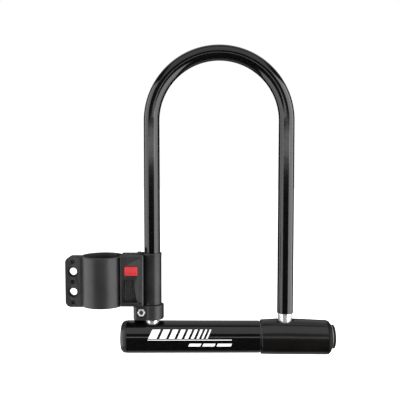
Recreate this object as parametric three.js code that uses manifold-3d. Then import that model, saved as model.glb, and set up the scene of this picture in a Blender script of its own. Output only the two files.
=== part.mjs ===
// A bicycle U lock held in its quick-release frame bracket. Millimetres, +Z up.
// The origin is the centre of the bracket's clamp bore, whose axis is Z.
// +X runs along the crossbar to its key end, and +Y runs from the front to the back.
import * as THREE from 'three';
import { mergeVertices } from 'three/addons/utils/BufferGeometryUtils.js';
import Module from 'manifold-3d';

const wasm = await Module();
wasm.setup();

// Shackle
const barRadius = 5.95;
const coatBore = 6.05;
const coatRadius = 6.85;
const leftLegX = 42.8;
const shackleSpan = 115;
const bowZ = 137.2;
const coatEndZ = -28.1;
const bowSteps = 30;
const barSides = 20;

// Crossbar
const crossbarZ = -49.3;
const tubeRadius = 12.6;
const tubeBore = 10.2;
const skinBore = 12.8;
const skinRadius = 13.8;
const cuffRadius = 14.9;
const crossbarLeft = 15.6;
const seamX = 136.7;
const cuffRight = 197.3;
const cuffCorner = 4.7;
const plugCorner = 4.4;
const coverRadius = 10.3;
const coverPivotY = 8.3;
const footReach = 7.6;
const notchHalf = 4;
const notchFloor = 2.5;
const pinX = cuffRight - 9;

// Bracket
const boreRadius = 15.8;
const bandRadius = 18.6;
const linerRadius = 14.3;
const bandTop = 22;
const bandBottom = -21;
const flangeLeft = -31.5;
const flangeTop = 21.4;
const flangeBottom = -22;
const flangeFace = 6;
const flangeGap = 0.5;
const holeX = -24.7;
const holePitch = 8.8;
const boltHoleRadius = 3.1;
const rearHoleRadius = 5.4;
const seatRadius = 4.5;
const seatDepth = 1.6;
const reliefDepth = 3.2;
const housing = { left: 16.2, right: 36.1, front: -13, back: 9, bottom: -20, top: 23.3 };
const hingeX = 17.5;
const hingeY = 13;
const pocket = { left: 19.8, right: 31.5, bottom: 6.1, top: 14.6, floor: -6.5 };
const cavity = { left: 21.2, right: 28.2, bottom: 4, top: 17, front: -5.5 };
const springX = 24.65;
const springZ = 10.3;

// Carrier that ties the shackle to the bracket
const sleeveRadius = 8;
const sleeveBore = 7.1;
const sleeveTop = 24.4;
const saddleRadius = 8.4;
const tongue = { left: 29.8, shoulder: 32.8, headHalf: 4.6, neckHalf: 2.6 };
const slotGap = 0.35;
const collarRadius = 9.6;
const collarTop = -20.3;
const collarBottom = -33;
const earTop = -21;
const clampScrewX = leftLegX - 9.1;
const clampScrewZ = -26.4;

const gap = 0.3;
const mergeDistance = 1e-4;
const rightLegX = leftLegX + shackleSpan;
const bowX = leftLegX + shackleSpan / 2;
const footZ = crossbarZ - footReach;

const looks = {
  bracketPlastic: { color: 0x2e2e30, roughness: 0.62, metalness: 0 },
  liner: { color: 0x17171a, roughness: 0.85, metalness: 0 },
  button: { color: 0xc8202a, roughness: 0.4, metalness: 0 },
  vinyl: { color: 0x0b0b0c, roughness: 0.22, metalness: 0 },
  cuffPlastic: { color: 0x1a1a1c, roughness: 0.42, metalness: 0 },
  steel: { color: 0xc4c6c9, roughness: 0.25, metalness: 1 },
  darkSteel: { color: 0x6d6f73, roughness: 0.4, metalness: 1 },
  brass: { color: 0xb5954a, roughness: 0.35, metalness: 1 },
};

const model = new THREE.Group();

// A closed geometry as a solid that can be joined and cut.
function solid(geometry) {
  geometry.deleteAttribute('normal');
  geometry.deleteAttribute('uv');
  const merged = mergeVertices(geometry, mergeDistance);
  const corners = merged.index.array;
  const triangles = [];
  for (let i = 0; i < corners.length; i += 3) {
    const [a, b, c] = corners.slice(i, i + 3);
    if (a !== b && b !== c && c !== a) triangles.push(a, b, c);
  }
  return new wasm.Manifold(new wasm.Mesh({
    numProp: 3,
    vertProperties: new Float32Array(merged.attributes.position.array),
    triVerts: new Uint32Array(triangles),
  }));
}

function addPiece(name, body, look) {
  const { vertProperties, triVerts } = body.getMesh();
  const geometry = new THREE.BufferGeometry();
  geometry.setAttribute('position', new THREE.BufferAttribute(vertProperties, 3));
  geometry.setIndex(new THREE.BufferAttribute(triVerts, 1));
  geometry.computeVertexNormals();
  const mesh = new THREE.Mesh(geometry, new THREE.MeshStandardMaterial(look));
  mesh.name = name;
  model.add(mesh);
}

function block([x0, x1], [y0, y1], [z0, z1]) {
  const geometry = new THREE.BoxGeometry(x1 - x0, y1 - y0, z1 - z0);
  return solid(geometry.translate((x0 + x1) / 2, (y0 + y1) / 2, (z0 + z1) / 2));
}

// Turns an outline of [radius, distance along the axis] points, counter-clockwise, about an axis.
function turned(outline, axis, [x, y, z], sides = 32) {
  const points = outline.map(([radius, along]) => new THREE.Vector2(radius, along));
  if (outline[0][0] > 0) points.push(points[0].clone());
  const geometry = new THREE.LatheGeometry(points, sides);
  if (axis === 'z') geometry.rotateX(Math.PI / 2);
  if (axis === 'x') geometry.rotateZ(-Math.PI / 2);
  return solid(geometry.translate(x, y, z));
}

function rod(radius, axis, from, to, place, sides) {
  return turned([[0, from], [radius, from], [radius, to], [0, to]], axis, place, sides);
}

function ring(inner, outer, axis, from, to, place, sides) {
  return turned([[inner, from], [outer, from], [outer, to], [inner, to]], axis, place, sides);
}

// Pushes a flat shape along an axis: drawn in XY for z, in XZ for y and in YZ for x.
function plate(shape, axis, from, to, curveSegments = 12) {
  const geometry = new THREE.ExtrudeGeometry(shape, { depth: to - from, bevelEnabled: false, curveSegments });
  if (axis === 'z') return solid(geometry.translate(0, 0, from));
  if (axis === 'y') return solid(geometry.rotateX(Math.PI / 2).translate(0, to, 0));
  const cycle = new THREE.Matrix4().makeBasis(
    new THREE.Vector3(0, 1, 0), new THREE.Vector3(0, 0, 1), new THREE.Vector3(1, 0, 0));
  return solid(geometry.applyMatrix4(cycle).translate(from, 0, 0));
}

function roundedRectangle(left, right, bottom, top, radius) {
  const shape = new THREE.Shape();
  shape.absarc(right - radius, bottom + radius, radius, -Math.PI / 2, 0);
  shape.absarc(right - radius, top - radius, radius, 0, Math.PI / 2);
  shape.absarc(left + radius, top - radius, radius, Math.PI / 2, Math.PI);
  shape.absarc(left + radius, bottom + radius, radius, Math.PI, Math.PI * 1.5);
  return shape;
}

// Part of a ring about the origin, between two angles in degrees.
function sector(inner, outer, from, to) {
  const start = THREE.MathUtils.degToRad(from);
  const end = THREE.MathUtils.degToRad(to);
  const shape = new THREE.Shape();
  shape.absarc(0, 0, outer, start, end, false);
  shape.absarc(0, 0, inner, end, start, true);
  return shape;
}

function hexagon(acrossFlats, x, z) {
  const reach = acrossFlats / Math.sqrt(3);
  const shape = new THREE.Shape();
  for (let corner = 0; corner < 6; corner += 1) {
    const angle = corner * Math.PI / 3;
    const point = [x + reach * Math.cos(angle), z + reach * Math.sin(angle)];
    if (corner === 0) shape.moveTo(...point);
    else shape.lineTo(...point);
  }
  return shape;
}

function joined(bodies) {
  return bodies.reduce((whole, body) => whole.add(body));
}

function cut(body, tools) {
  return tools.reduce((rest, tool) => rest.subtract(tool), body);
}

// The U of the shackle's centre line, down to one height. Each straight leg takes one step.
class ShackleLine extends THREE.Curve {
  constructor(endZ) {
    super();
    this.endZ = endZ;
  }

  getUtoTmapping(u) {
    return u;
  }

  getPoint(t) {
    const step = t * (bowSteps + 2);
    const onBow = THREE.MathUtils.clamp(step - 1, 0, bowSteps) / bowSteps;
    const radius = shackleSpan / 2;
    const angle = Math.PI * (1 - onBow);
    const down = Math.max(1 - step, step - bowSteps - 1, 0) * (bowZ - this.endZ);
    return new THREE.Vector3(bowX + radius * Math.cos(angle), 0, bowZ + radius * Math.sin(angle) - down);
  }
}

function alongShackle(radius, endZ) {
  const section = new THREE.Shape();
  section.absarc(0, 0, radius, 0, Math.PI * 2);
  return solid(new THREE.ExtrudeGeometry(section, {
    steps: bowSteps + 2,
    extrudePath: new ShackleLine(endZ),
    curveSegments: barSides / 2,
  }));
}

// ---- Shackle ----

function shackleBar() {
  const notch = block(
    [rightLegX + notchFloor, rightLegX + barRadius + 1],
    [-barRadius - 1, barRadius + 1],
    [crossbarZ - notchHalf, crossbarZ + notchHalf]);
  return alongShackle(barRadius, footZ).subtract(notch);
}

function shackleCoating() {
  const core = alongShackle(coatBore, coatEndZ - 1);
  return alongShackle(coatRadius, coatEndZ).subtract(core);
}

// ---- Carrier: a sleeve with a tongue, and a split collar clamped round the leg ----

function tongueShape(grow) {
  const { left, shoulder, headHalf, neckHalf } = tongue;
  const right = leftLegX - sleeveBore - 0.2 + 2 * grow;
  const shape = new THREE.Shape();
  shape.moveTo(left - grow, -headHalf - grow);
  shape.lineTo(shoulder + grow, -headHalf - grow);
  shape.lineTo(shoulder + grow, -neckHalf - grow);
  shape.lineTo(right, -neckHalf - grow);
  shape.lineTo(right, neckHalf + grow);
  shape.lineTo(shoulder + grow, neckHalf + grow);
  shape.lineTo(shoulder + grow, headHalf + grow);
  shape.lineTo(left - grow, headHalf + grow);
  shape.closePath();
  return shape;
}

function carrierSleeve() {
  const bottom = collarTop + gap;
  const tube = rod(sleeveRadius, 'z', bottom, sleeveTop, [leftLegX, 0, 0], 36);
  const rail = plate(tongueShape(0), 'z', bottom, sleeveTop + 0.4);
  const bore = rod(sleeveBore, 'z', bottom - 1, sleeveTop + 1, [leftLegX, 0, 0], 36);
  return tube.add(rail).subtract(bore);
}

function carrierCollar() {
  const earLeft = 26.6;
  const earHalf = 8.5;
  const slitHalf = 0.6;
  const band = rod(collarRadius, 'z', collarBottom, collarTop, [leftLegX, 0, 0], 36);
  const ear = plate(roundedRectangle(earLeft, leftLegX, -earHalf, earHalf, 4), 'z', collarBottom, earTop, 4);
  const bore = rod(coatRadius + 0.15, 'z', collarBottom - 1, collarTop + 1, [leftLegX, 0, 0], 36);
  const slit = block([earLeft - 1, leftLegX - 5], [-slitHalf, slitHalf], [collarBottom - 1, collarTop + 1]);
  const screwHole = rod(1.85, 'y', -earHalf - 1, earHalf + 1, [clampScrewX, 0, clampScrewZ], 20);
  const nutPocket = plate(hexagon(6.8, clampScrewX, clampScrewZ), 'y', -earHalf - 1, -earHalf + 3.1);
  const headPocket = rod(3.8, 'y', earHalf - 3, earHalf + 1, [clampScrewX, 0, clampScrewZ], 24);
  return cut(band.add(ear), [bore, slit, screwHole, nutPocket, headPocket]);
}

function collarNut() {
  const outline = plate(hexagon(6.2, clampScrewX, clampScrewZ), 'y', -8.1, -5.7);
  return outline.subtract(rod(1.85, 'y', -9, -5, [clampScrewX, 0, clampScrewZ], 20));
}

function collarScrew() {
  const place = [clampScrewX, 0, clampScrewZ];
  const shaft = [[0, -7.6], [1.6, -7.6], [1.6, 5.8], [3.3, 5.8], [3.3, 8], [0, 8]];
  const socket = plate(hexagon(2.8, clampScrewX, clampScrewZ), 'y', 6.6, 9);
  return turned(shaft, 'y', place, 20).subtract(socket);
}

// ---- Bracket ----

function flange(from, to, holeRadius) {
  const right = -16.6;
  const corner = 5;
  const outline = new THREE.Shape();
  outline.moveTo(right, flangeBottom);
  outline.lineTo(right, flangeTop);
  outline.absarc(flangeLeft + corner, flangeTop - corner, corner, Math.PI / 2, Math.PI);
  outline.absarc(flangeLeft + corner, flangeBottom + corner, corner, Math.PI, Math.PI * 1.5);
  outline.closePath();
  const holes = [-1, 1].map((side) => (
    rod(holeRadius, 'y', from - 1, to + 1, [holeX, 0, side * holePitch], 24)));
  return cut(plate(outline, 'y', from, to, 6), holes);
}

// The pits around and between the bolt holes, the seats the bolt heads sit in, and wider relief behind.
function flangeRecesses() {
  const reliefs = [-1, 1].map((side) => (
    rod(seatRadius, 'y', -reliefDepth, flangeGap, [holeX, 0, side * holePitch], 24)));
  const seats = [-1, 1].map((side) => (
    rod(seatRadius, 'y', -flangeFace - 1, -flangeFace + seatDepth, [holeX, 0, side * holePitch], 24)));
  const pits = [-2, 0, 2].map((step) => (
    rod(1.85, 'y', -flangeFace - 1, -flangeFace + 1.8, [holeX, 0, step * holePitch], 16)));
  return [...seats, ...pits, ...reliefs];
}

function knuckle(from, to) {
  return rod(3.2, 'z', from, to, [hingeX, hingeY, 0], 24);
}

function hingeHole() {
  return rod(1.75, 'z', bandBottom - 1, bandTop + 1, [hingeX, hingeY, 0], 24);
}

function buttonRoom() {
  const reach = housing.front - 1;
  return [
    block([pocket.left, pocket.right], [reach, pocket.floor], [pocket.bottom, pocket.top]),
    block([21.9, 27.4], [pocket.floor - 1, cavity.front + 1], [7.5, 13.1]),
    block([cavity.left, cavity.right], [cavity.front, housing.back + 1], [cavity.bottom, cavity.top]),
    block([cavity.right - 1, tongue.left], [-1.2, 4.6], [8.6, 12.2]),
  ];
}

// The ribbed thumb recess under the button, and the sight hole at the housing's lower corner.
function frontRecesses() {
  const recess = block([17.9, 30.7], [housing.front - 1, housing.front + 2.4], [-16.2, 2.8]);
  const ribs = [20.1, 22.2, 24.3, 26.4, 28.5].map((x) => (
    block([x - 0.45, x + 0.45], [housing.front + 1, housing.front + 3], [-16.8, 3.4])));
  return [cut(recess, ribs), rod(0.8, 'y', housing.front - 1, housing.front + 2, [33.4, 0, -17.1], 12)];
}

function clampFront() {
  const { left, right, front, back, bottom, top } = housing;
  const band = plate(sector(boreRadius, bandRadius, -178.2, 28), 'z', bandBottom, bandTop, 20);
  const box = plate(roundedRectangle(left, right, front, back, 1.2), 'z', bottom, top, 3);
  const knuckles = [[10, 20], [-20, -10]].map(([from, to]) => (
    knuckle(from, to).add(block([16.6, 19.8], [8, hingeY], [from, to]))));
  const whole = joined([band, flange(-flangeFace, -flangeGap, boltHoleRadius), box, ...knuckles]);
  const slot = plate(tongueShape(slotGap), 'z', bottom - 2, top + 1);
  const saddle = rod(saddleRadius, 'z', bottom - 2, top + 1, [leftLegX, 0, 0], 36);
  const coverSeat = block([20.1, 32.7], [7, back + 1], [-0.3, 20.7]);
  const coverScrewHole = rod(1.2, 'y', 0, back, [24, 0, 2], 16);
  return cut(whole, [
    slot, saddle, coverSeat, coverScrewHole, hingeHole(),
    ...flangeRecesses(), ...buttonRoom(), ...frontRecesses()]);
}

function clampBack() {
  const band = plate(sector(boreRadius, bandRadius, 34, 178.2), 'z', bandBottom, bandTop, 16);
  const web = block([12, hingeX], [11.8, 16.2], [-9.7, 9.7]);
  const ear = flange(flangeGap, flangeFace, rearHoleRadius);
  return joined([band, ear, knuckle(-9.7, 9.7), web]).subtract(hingeHole());
}

function hingePin() {
  return rod(1.5, 'z', -20.4, 20.4, [hingeX, hingeY, 0], 24);
}

function linerPad(from, to) {
  return plate(sector(linerRadius, boreRadius - 0.2, from, to), 'z', bandBottom + 0.6, bandTop - 0.6, 14);
}

function housingCover() {
  const panel = block([20.4, 32.4], [7.3, 9], [0, 20.4]);
  const screwHole = [[0, 6], [1.4, 6], [1.4, 7.9], [2.5, 8], [2.5, 10], [0, 10]];
  return panel.subtract(turned(screwHole, 'y', [24, 0, 2], 20));
}

function coverScrew() {
  return turned([[0, 1], [1, 1], [1, 8.1], [2.2, 8.3], [2.2, 9], [0, 9]], 'y', [24, 0, 2], 20);
}

function releaseButton() {
  const face = block([20.1, 31.2], [-13.4, -10.5], [6.45, 14.25]);
  const grip = block([20.9, 30.4], [-14.4, -13.3], [7.4, 8.4]);
  return face.add(grip);
}

function releaseCatch() {
  const stem = block([22.2, 27.1], [-10.2, 2.2], [8, 12.6]);
  const shoulder = block([21.5, 27.9], [-5.2, -4], [5, 16]);
  const nose = block([26, 29.2], [-0.8, 1.6], [9, 11.8]);
  return joined([stem, shoulder, nose]);
}

class Helix extends THREE.Curve {
  getPoint(t) {
    const turns = 3.5;
    const coilRadius = 1.9;
    const angle = t * turns * Math.PI * 2;
    return new THREE.Vector3(
      springX + coilRadius * Math.cos(angle), 2.9 + 3.7 * t, springZ + coilRadius * Math.sin(angle));
  }
}

function buttonSpring() {
  const section = new THREE.Shape();
  section.absarc(0, 0, 0.35, 0, Math.PI * 2);
  return solid(new THREE.ExtrudeGeometry(section, { steps: 42, extrudePath: new Helix(), curveSegments: 3 }));
}

// ---- Crossbar ----

function legHole(radius, x) {
  return rod(radius, 'z', crossbarZ, crossbarZ + cuffRadius + 2, [x, 0, 0], 28);
}

function pinHole() {
  return rod(1.3, 'z', crossbarZ - 14, crossbarZ - 8, [pinX, 0, 0], 16);
}

function crossbarTube() {
  const tube = ring(tubeBore, tubeRadius, 'x', crossbarLeft + 5.3, cuffRight - 3.3, [0, 0, crossbarZ], 32);
  return cut(tube, [legHole(8, leftLegX), legHole(8, rightLegX), pinHole()]);
}

function crossbarSkin() {
  const skin = ring(skinBore, skinRadius, 'x', crossbarLeft + 5.3, seamX - 0.3, [0, 0, crossbarZ], 40);
  return skin.subtract(legHole(8, leftLegX));
}

// Points of a rounded shoulder, as [radius, x], from one angle to another in degrees.
function shoulder(centreRadius, centreX, radius, from, to, steps = 5) {
  return Array.from({ length: steps + 1 }, (_, step) => {
    const angle = THREE.MathUtils.degToRad(from + (to - from) * step / steps);
    return [centreRadius + radius * Math.cos(angle), centreX + radius * Math.sin(angle)];
  });
}

function endPlug() {
  const left = crossbarLeft;
  const rim = shoulder(skinRadius - plugCorner, left + plugCorner, plugCorner, -90, 0);
  const outline = [
    [0, left], ...rim, [skinRadius, left + 5], [9.9, left + 5], [9.9, left + 13], [0, left + 13]];
  return turned(outline, 'x', [0, 0, crossbarZ], 40);
}

function keyEndCuff() {
  const right = cuffRight;
  const rim = shoulder(cuffRadius - cuffCorner, right - cuffCorner, cuffCorner, 0, 90);
  const outline = [
    [skinBore, seamX], [cuffRadius - 0.5, seamX], [cuffRadius, seamX + 0.6],
    ...rim, [6, right], [6, right - 3], [skinBore, right - 3]];
  const rivetHole = rod(1.5, 'x', right - 4, right + 1, [0, coverPivotY, crossbarZ], 16);
  return cut(turned(outline, 'x', [0, 0, crossbarZ], 40), [legHole(8, rightLegX), rivetHole]);
}

// A ring round a foot, its top following the crossbar's round surface.
function footBushing(x, outer) {
  const whole = ring(6.4, 7.7, 'z', crossbarZ + 9, crossbarZ + outer, [x, 0, 0], 28);
  return whole.intersect(rod(outer - 0.1, 'x', x - 10, x + 10, [0, 0, crossbarZ], 40));
}

// ---- Lock works inside the key end, along the crossbar's axis ----

function boltGuide() {
  const body = rod(9.9, 'x', rightLegX + 8, rightLegX + 14.8, [0, 0, crossbarZ], 28);
  const way = block(
    [rightLegX + 7, rightLegX + 16], [-4.85, 4.85], [crossbarZ - 3.95, crossbarZ + 3.95]);
  return body.subtract(way);
}

function deadbolt() {
  const shape = roundedRectangle(-4.5, 4.5, crossbarZ - 3.6, crossbarZ + 3.6, 0.8);
  return plate(shape, 'x', rightLegX + 6.6, rightLegX + 17.2, 3);
}

function cylinderHousing() {
  const inner = rightLegX + 15.2;
  const outer = cuffRight - 5.2;
  const body = turned(
    [[8.6, inner], [9.9, inner], [9.9, outer], [6.6, outer], [6.6, inner + 4.4], [8.6, inner + 4.4]],
    'x', [0, 0, crossbarZ], 28);
  return body.subtract(pinHole());
}

function housingPin() {
  return rod(1.1, 'z', crossbarZ - 12.4, crossbarZ - 8.3, [pinX, 0, 0], 16);
}

function drillPlate() {
  return ring(4.7, 9.9, 'x', cuffRight - 4.9, cuffRight - 3.5, [0, 0, crossbarZ], 28);
}

function keySlot(from, to) {
  return block([from, to], [-1.1, 1.1], [crossbarZ - 3.4, crossbarZ + 3.4]);
}

function plugSleeve() {
  const inner = rightLegX + 20.2;
  const step = cuffRight - 5.5;
  const face = cuffRight - 1.2;
  const outline = [
    [0, step - 1.2], [4.9, step - 1.2], [4.9, inner], [6.2, inner],
    [6.2, step], [4.4, step], [4.4, face], [0, face]];
  return turned(outline, 'x', [0, 0, crossbarZ], 28).subtract(keySlot(step - 2, cuffRight));
}

function detainerDisc(order) {
  const from = rightLegX + 20.9 + order * 2.4;
  const disc = rod(4.6, 'x', from, from + 1.8, [0, 0, crossbarZ], 24);
  return disc.subtract(keySlot(from - 1, from + 3));
}

function plugCam() {
  const from = rightLegX + 17.5;
  return rod(8, 'x', from, from + 1.8, [0, 0, crossbarZ], 28);
}

// A round cap over the keyway, swinging on a rivet near its edge.
function dustCover() {
  const inner = cuffRight + 0.2;
  const rim = shoulder(coverRadius - 0.9, inner + 2.2, 0.9, 0, 90, 3);
  const outline = [[0, inner], [coverRadius, inner], ...rim, [0, inner + 3.1]];
  const disc = turned(outline, 'x', [0, 0, crossbarZ], 40);
  const pivot = [0, coverPivotY, crossbarZ];
  const seat = rod(1.75, 'x', inner + 2.1, inner + 4, pivot, 16);
  return cut(disc, [rod(1.35, 'x', inner - 1, inner + 4, pivot, 16), seat]);
}

function coverRivet() {
  const inner = cuffRight + 0.2;
  const outline = [
    [0, cuffRight - 2.6], [1.1, cuffRight - 2.6], [1.1, inner + 2.4], [1.5, inner + 2.4],
    [1.5, inner + 3], [0, inner + 3]];
  return turned(outline, 'x', [0, coverPivotY, crossbarZ], 16);
}

// ---- Assembly ----

addPiece('shackle_bar', shackleBar(), looks.steel);
addPiece('shackle_coating', shackleCoating(), looks.vinyl);
addPiece('carrier_sleeve', carrierSleeve(), looks.bracketPlastic);
addPiece('carrier_collar', carrierCollar(), looks.bracketPlastic);
addPiece('collar_nut', collarNut(), looks.steel);
addPiece('collar_screw', collarScrew(), looks.steel);

addPiece('clamp_front', clampFront(), looks.bracketPlastic);
addPiece('clamp_back', clampBack(), looks.bracketPlastic);
addPiece('clamp_hinge_pin', hingePin(), looks.steel);
addPiece('liner_front', linerPad(-174, 20), looks.liner);
addPiece('liner_back', linerPad(42, 174), looks.liner);
addPiece('housing_cover', housingCover(), looks.bracketPlastic);
addPiece('cover_screw', coverScrew(), looks.steel);
addPiece('release_button', releaseButton(), looks.button);
addPiece('release_catch', releaseCatch(), looks.darkSteel);
addPiece('button_spring', buttonSpring(), looks.steel);

addPiece('crossbar_tube', crossbarTube(), looks.darkSteel);
addPiece('crossbar_skin', crossbarSkin(), looks.vinyl);
addPiece('end_plug', endPlug(), looks.cuffPlastic);
addPiece('key_end_cuff', keyEndCuff(), looks.cuffPlastic);
addPiece('bushing_left', footBushing(leftLegX, skinRadius), looks.liner);
addPiece('bushing_right', footBushing(rightLegX, cuffRadius), looks.liner);
addPiece('bolt_guide', boltGuide(), looks.darkSteel);
addPiece('deadbolt', deadbolt(), looks.steel);
addPiece('cylinder_housing', cylinderHousing(), looks.brass);
addPiece('housing_pin', housingPin(), looks.steel);
addPiece('drill_plate', drillPlate(), looks.darkSteel);
addPiece('plug_sleeve', plugSleeve(), looks.brass);
addPiece('plug_cam', plugCam(), looks.brass);
for (let order = 0; order < 5; order += 1) {
  addPiece(`detainer_disc_${order + 1}`, detainerDisc(order), looks.steel);
}
addPiece('dust_cover', dustCover(), looks.cuffPlastic);
addPiece('cover_rivet', coverRivet(), looks.steel);

export default model;
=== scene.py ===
import bpy
import bmesh
from math import cos, pi, radians, sin
from mathutils import Matrix, Vector


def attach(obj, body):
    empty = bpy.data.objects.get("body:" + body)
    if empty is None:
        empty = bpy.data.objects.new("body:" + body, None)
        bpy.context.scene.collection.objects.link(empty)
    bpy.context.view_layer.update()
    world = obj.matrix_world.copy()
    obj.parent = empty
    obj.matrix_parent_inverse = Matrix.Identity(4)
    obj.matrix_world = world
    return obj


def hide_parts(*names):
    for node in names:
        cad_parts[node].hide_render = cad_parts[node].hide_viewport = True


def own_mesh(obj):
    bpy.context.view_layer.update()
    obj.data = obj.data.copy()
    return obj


# U lock in its quick-release bracket.
# Shapes are drawn in millimetres and made metres when a piece is finished.
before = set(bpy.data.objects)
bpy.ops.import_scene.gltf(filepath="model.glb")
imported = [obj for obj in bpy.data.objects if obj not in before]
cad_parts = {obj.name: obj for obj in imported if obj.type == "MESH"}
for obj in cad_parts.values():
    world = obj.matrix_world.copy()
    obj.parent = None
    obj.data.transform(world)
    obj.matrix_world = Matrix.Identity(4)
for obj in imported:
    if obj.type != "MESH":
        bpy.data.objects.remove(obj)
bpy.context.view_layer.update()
print("frame loaded")

crossbarZ = -49.3
legX = {"left": 42.8, "right": 157.8}
hingePlace = (17.5, 13.0)


# Materials

def newMaterial(name, roughness, metallic=0.0, specular=0.5):
    material = bpy.data.materials.new(name)
    material.use_nodes = True
    nodes = material.node_tree.nodes
    links = material.node_tree.links
    shader = nodes["Principled BSDF"]
    shader.inputs["Roughness"].default_value = roughness
    shader.inputs["Metallic"].default_value = metallic
    shader.inputs["Specular IOR Level"].default_value = specular
    coordinates = nodes.new("ShaderNodeTexCoord")
    mapping = nodes.new("ShaderNodeMapping")
    links.new(coordinates.outputs["Object"], mapping.inputs["Vector"])
    return material, nodes, links, shader, mapping


def addNoise(nodes, links, mapping, scale, detail):
    noise = nodes.new("ShaderNodeTexNoise")
    noise.inputs["Scale"].default_value = scale
    noise.inputs["Detail"].default_value = detail
    links.new(mapping.outputs["Vector"], noise.inputs["Vector"])
    return noise.outputs["Fac"]


# A colour ramp between two (place, tone) stops.
def addRamp(nodes, links, factor, first, last):
    ramp = nodes.new("ShaderNodeValToRGB")
    for element, (place, tone) in zip(ramp.color_ramp.elements, (first, last)):
        element.position = place
        element.color = (*tone, 1.0)
    links.new(factor, ramp.inputs["Fac"])
    return ramp.outputs["Color"]


def addRange(nodes, links, factor, low, high):
    spread = nodes.new("ShaderNodeMapRange")
    spread.inputs["To Min"].default_value = low
    spread.inputs["To Max"].default_value = high
    links.new(factor, spread.inputs["Value"])
    return spread.outputs["Result"]


def addBump(nodes, links, shader, height, strength, distance):
    bump = nodes.new("ShaderNodeBump")
    bump.inputs["Strength"].default_value = strength
    bump.inputs["Distance"].default_value = distance
    links.new(height, bump.inputs["Height"])
    links.new(bump.outputs["Normal"], shader.inputs["Normal"])


bracketLook = {
    "dark": (0.0065, 0.0062, 0.0062), "light": (0.013, 0.0125, 0.0125), "wornAndSheen": (0.018, 0.018, 0.018),
    "specular": 0.45, "roughness": 0.4, "smooth": 0.3, "dull": 0.5,
    "grain": 1500.0, "clouds": 70.0, "bump": 0.55, "depth": 0.00012,
}


# Grained plastic that pales where it turns outwards, partly edge wear and partly painted highlight:
# pointiness is about 0.5 on flats, more on edges.
def bracketPlastic():
    look = bracketLook
    made = newMaterial("bracketPlastic", look["roughness"], specular=look["specular"])
    material, nodes, links, shader, mapping = made
    grain = addNoise(nodes, links, mapping, look["grain"], 2.0)
    clouds = addNoise(nodes, links, mapping, look["clouds"], 4.0)
    tone = addRamp(nodes, links, clouds, (0.3, look["dark"]), (0.75, look["light"]))
    edges = nodes.new("ShaderNodeNewGeometry").outputs["Pointiness"]
    # Outward edges are painted paler: partly wear, partly a painted highlight on the rounded edges.
    edgeWearAndSheen = addRamp(nodes, links, edges, (0.5, (0.0, 0.0, 0.0)), (0.62, look["wornAndSheen"]))
    mix = nodes.new("ShaderNodeMix")
    mix.data_type = "RGBA"
    mix.blend_type = "ADD"
    mix.inputs["Factor"].default_value = 1.0
    links.new(tone, mix.inputs["A"])
    links.new(edgeWearAndSheen, mix.inputs["B"])
    links.new(mix.outputs["Result"], shader.inputs["Base Color"])
    roughness = addRange(nodes, links, grain, look["smooth"], look["dull"])
    links.new(roughness, shader.inputs["Roughness"])
    addBump(nodes, links, shader, grain, look["bump"], look["depth"])
    return material


vinylLook = {
    "tone": (0.0016, 0.0016, 0.0018), "scuffed": (0.005, 0.005, 0.0055), "smooth": 0.08, "dull": 0.16,
    "ripple": 90.0, "scuffs": 900.0, "bump": 0.12, "depth": 0.0004,
}


def glossyVinyl():
    look = vinylLook
    material, nodes, links, shader, mapping = newMaterial("glossyVinyl", look["smooth"])
    ripple = addNoise(nodes, links, mapping, look["ripple"], 2.0)
    scuffs = addNoise(nodes, links, mapping, look["scuffs"], 5.0)
    tone = addRamp(nodes, links, scuffs, (0.45, look["tone"]), (0.9, look["scuffed"]))
    links.new(tone, shader.inputs["Base Color"])
    roughness = addRange(nodes, links, scuffs, look["smooth"], look["dull"])
    links.new(roughness, shader.inputs["Roughness"])
    addBump(nodes, links, shader, ripple, look["bump"], look["depth"])
    return material


satinLook = {"clouds": 45.0, "detail": 3.0, "smoother": 0.06, "duller": 0.08, "bump": 0.4}


def satinPlastic(name, dark, light, roughness, grainSize, grainDepth, specular=0.5):
    look = satinLook
    material, nodes, links, shader, mapping = newMaterial(name, roughness, specular=specular)
    grain = addNoise(nodes, links, mapping, grainSize, look["detail"])
    clouds = addNoise(nodes, links, mapping, look["clouds"], look["detail"])
    links.new(addRamp(nodes, links, clouds, (0.3, dark), (0.7, light)), shader.inputs["Base Color"])
    spread = addRange(nodes, links, grain, roughness - look["smoother"], roughness + look["duller"])
    links.new(spread, shader.inputs["Roughness"])
    addBump(nodes, links, shader, grain, look["bump"], grainDepth)
    return material


metalLook = {
    "marks": 900.0, "clouds": 160.0, "detail": 4.0, "smoother": 0.7, "duller": 1.5, "bump": 0.15,
    "depth": 0.00005,
}


# Plated or ground metal: fine marks, squeezed along one axis, and a little cloudiness.
def wornMetal(name, dark, light, roughness, squeeze, metallic=1.0):
    look = metalLook
    material, nodes, links, shader, mapping = newMaterial(name, roughness, metallic=metallic)
    mapping.inputs["Scale"].default_value = squeeze
    marks = addNoise(nodes, links, mapping, look["marks"], look["detail"])
    cloudMapping = nodes.new("ShaderNodeMapping")
    links.new(mapping.inputs["Vector"].links[0].from_socket, cloudMapping.inputs["Vector"])
    clouds = addNoise(nodes, links, cloudMapping, look["clouds"], look["detail"])
    links.new(addRamp(nodes, links, clouds, (0.3, dark), (0.7, light)), shader.inputs["Base Color"])
    spread = addRange(nodes, links, marks, roughness * look["smoother"], roughness * look["duller"])
    links.new(spread, shader.inputs["Roughness"])
    addBump(nodes, links, shader, marks, look["bump"], look["depth"])
    return material


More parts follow.
